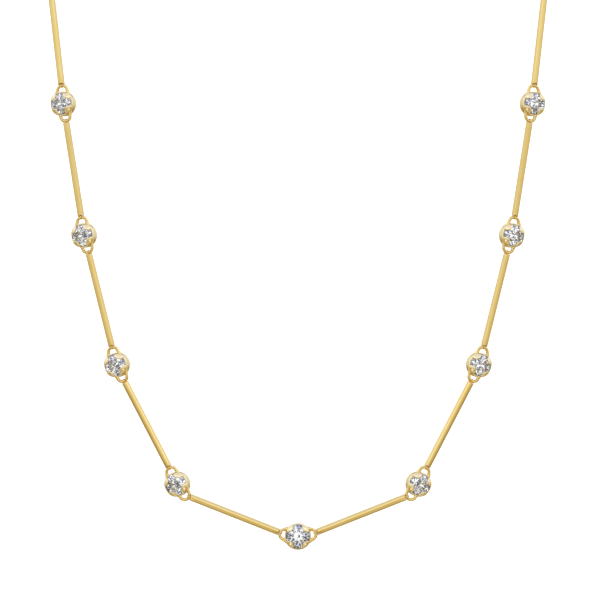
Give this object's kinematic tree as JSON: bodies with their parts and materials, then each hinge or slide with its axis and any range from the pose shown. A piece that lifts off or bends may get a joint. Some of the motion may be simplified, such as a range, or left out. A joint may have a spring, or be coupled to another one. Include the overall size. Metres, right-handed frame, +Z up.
{
  "type": "diamond station necklace",
  "caption": "Collar-length station necklace of straight round gold bars that alternate with round brilliant stones in four-petal settings, closed by a plain clasp.",
  "frame": {"origin": "mount nape: the middle of the clasp, where the necklace hangs at the back of the neck", "axes": "+Z up, -Y to the front of the necklace, +X to the right as seen from the front; the left side is the mirror image of the right"},
  "size_m": [0.0958, 0.094, 0.1313],
  "materials": {
    "gold": "polished yellow gold, 14 carat",
    "diamond": "round brilliant cut, near colourless, polished facets"
  },
  "bodies": {
    "root": {"stone_mid": "diamond", "stone_r1": "diamond", "stone_r2": "diamond", "stone_r3": "diamond", "stone_r4": "diamond", "stone_r5": "diamond", "stone_r6": "diamond", "stone_r7": "diamond", "stone_l1": "diamond", "stone_l2": "diamond", "stone_l3": "diamond", "stone_l4": "diamond", "stone_l5": "diamond", "stone_l6": "diamond", "stone_l7": "diamond", "setting_mid": "gold", "setting_r1": "gold", "setting_r2": "gold", "setting_r3": "gold", "setting_r4": "gold", "setting_r5": "gold", "setting_r6": "gold", "setting_r7": "gold", "setting_l1": "gold", "setting_l2": "gold", "setting_l3": "gold", "setting_l4": "gold", "setting_l5": "gold", "setting_l6": "gold", "setting_l7": "gold", "bar_r1": "gold", "bar_r2": "gold", "bar_r3": "gold", "bar_r4": "gold", "bar_r5": "gold", "bar_r6": "gold", "bar_r7": "gold", "bar_r8": "gold", "bar_l1": "gold", "bar_l2": "gold", "bar_l3": "gold", "bar_l4": "gold", "bar_l5": "gold", "bar_l6": "gold", "bar_l7": "gold", "bar_l8": "gold", "clasp": "gold", "end_ring": "gold"}
  },
  "joints": []
}
